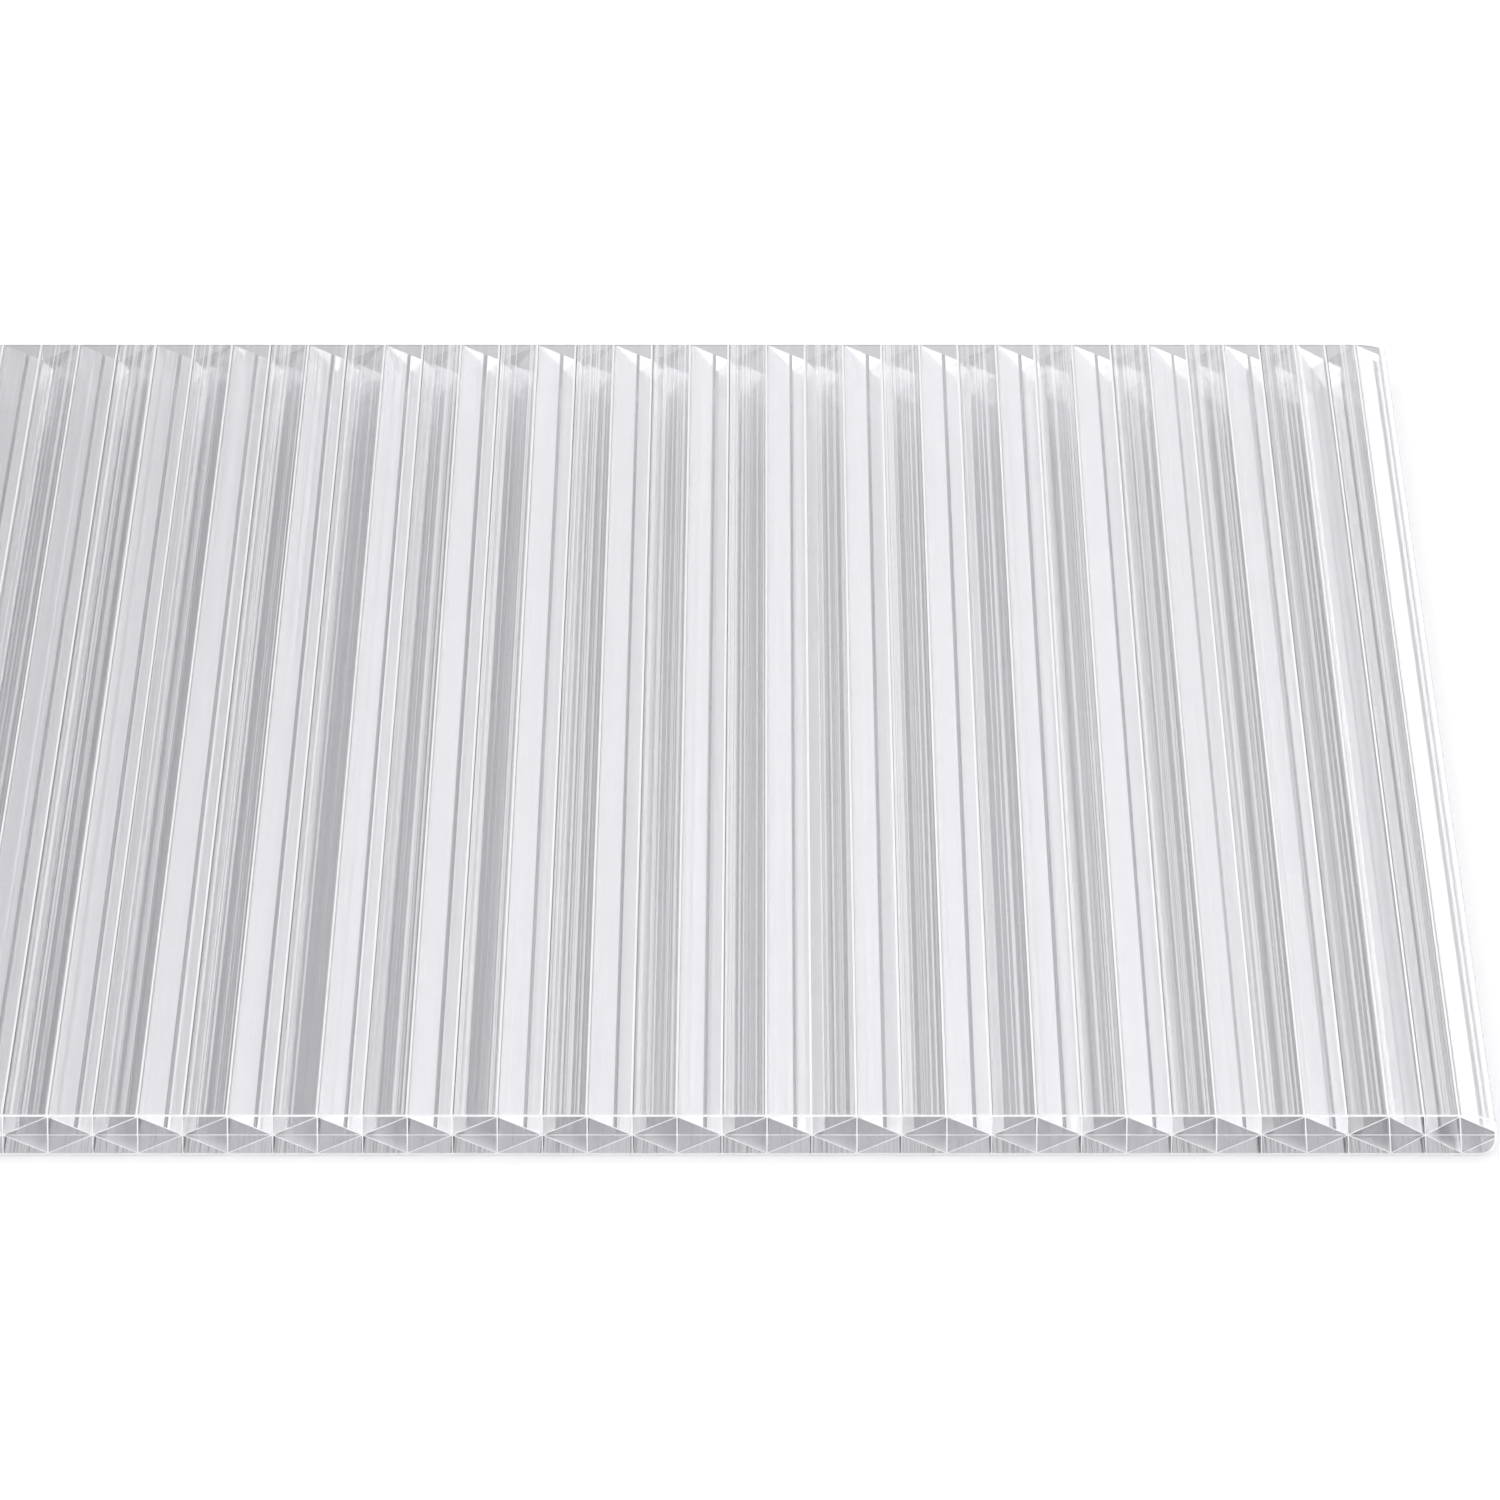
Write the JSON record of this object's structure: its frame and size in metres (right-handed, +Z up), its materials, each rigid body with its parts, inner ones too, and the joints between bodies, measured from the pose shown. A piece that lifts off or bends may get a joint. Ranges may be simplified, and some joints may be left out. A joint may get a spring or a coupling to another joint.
{
  "type": "multiwall polycarbonate sheet",
  "caption": "Clear multiwall polycarbonate sheet with an X-braced section of three-cornered flutes, closed rounded long edges and open cut ends.",
  "frame": {"origin": "middle of the lower skin's outside face, where the sheet rests on the floor", "axes": "+Z up through the sheet's thickness, +Y along the flutes, +X across the ribs; the end seen in the picture is at low Y"},
  "size_m": [0.98, 1, 0.016],
  "materials": {
    "polycarbonate": "gloss"
  },
  "bodies": {
    "root": {"multiwall_sheet": "polycarbonate"}
  },
  "joints": []
}
